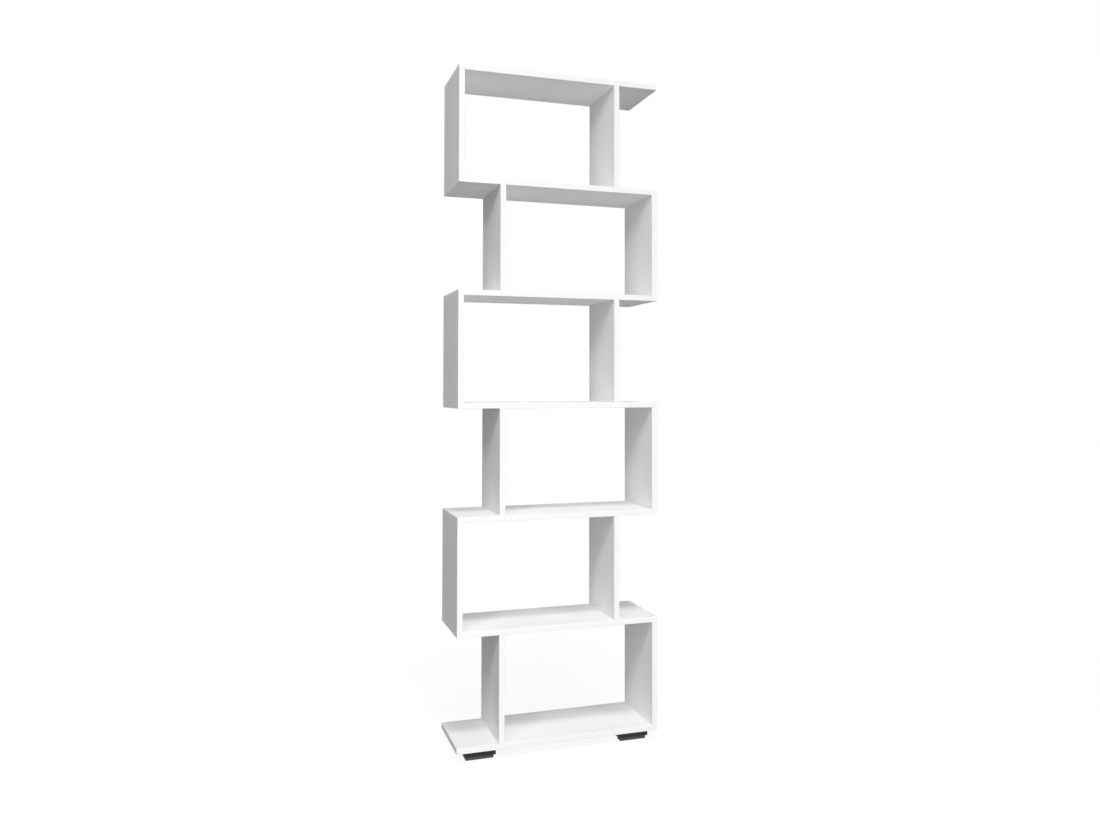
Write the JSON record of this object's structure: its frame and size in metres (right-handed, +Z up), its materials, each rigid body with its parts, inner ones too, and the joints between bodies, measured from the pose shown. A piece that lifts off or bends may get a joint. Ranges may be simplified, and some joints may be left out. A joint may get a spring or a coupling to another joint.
{
  "type": "room divider bookcase",
  "caption": "Tall open bookcase with full-width white shelves held apart by uprights that step left and right, standing on low black feet; open on both sides to divide a room.",
  "frame": {"origin": "on the floor, under the middle of the bookcase", "axes": "+Z up; +X along the shelves, to the right as seen from the front; -Y to the front"},
  "size_m": [0.6, 0.24, 1.964],
  "materials": {
    "melamine": "chipboard faced with white melamine, matching edge bands, satin",
    "foot_plastic": "black injection moulded plastic, fine matt texture",
    "screw_steel": "zinc plated steel"
  },
  "bodies": {
    "root": {"bottom_shelf": "melamine", "shelf_1": "melamine", "shelf_2": "melamine", "shelf_3": "melamine", "shelf_4": "melamine", "shelf_5": "melamine", "top_shelf": "melamine", "tier_1_left_upright": "melamine", "tier_1_right_upright": "melamine", "tier_2_left_upright": "melamine", "tier_2_right_upright": "melamine", "tier_3_left_upright": "melamine", "tier_3_right_upright": "melamine", "tier_4_left_upright": "melamine", "tier_4_right_upright": "melamine", "tier_5_left_upright": "melamine", "tier_5_right_upright": "melamine", "tier_6_left_upright": "melamine", "tier_6_right_upright": "melamine", "front_left_foot": "foot_plastic", "front_right_foot": "foot_plastic", "rear_left_foot": "foot_plastic", "rear_right_foot": "foot_plastic", "tier_1_left_lower_screw": "screw_steel", "tier_1_left_upper_screw": "screw_steel", "tier_1_right_lower_screw": "screw_steel", "tier_1_right_upper_screw": "screw_steel", "tier_2_left_lower_screw": "screw_steel", "tier_2_left_upper_screw": "screw_steel", "tier_2_right_lower_screw": "screw_steel", "tier_2_right_upper_screw": "screw_steel", "tier_3_left_lower_screw": "screw_steel", "tier_3_left_upper_screw": "screw_steel", "tier_3_right_lower_screw": "screw_steel", "tier_3_right_upper_screw": "screw_steel", "tier_4_left_lower_screw": "screw_steel", "tier_4_left_upper_screw": "screw_steel", "tier_4_right_lower_screw": "screw_steel", "tier_4_right_upper_screw": "screw_steel", "tier_5_left_lower_screw": "screw_steel", "tier_5_left_upper_screw": "screw_steel", "tier_5_right_lower_screw": "screw_steel", "tier_5_right_upper_screw": "screw_steel", "tier_6_left_lower_screw": "screw_steel", "tier_6_left_upper_screw": "screw_steel", "tier_6_right_lower_screw": "screw_steel", "tier_6_right_upper_screw": "screw_steel", "front_left_foot_screw_1": "screw_steel", "front_left_foot_screw_2": "screw_steel", "front_right_foot_screw_1": "screw_steel", "front_right_foot_screw_2": "screw_steel", "rear_left_foot_screw_1": "screw_steel", "rear_left_foot_screw_2": "screw_steel", "rear_right_foot_screw_1": "screw_steel", "rear_right_foot_screw_2": "screw_steel"}
  },
  "joints": []
}
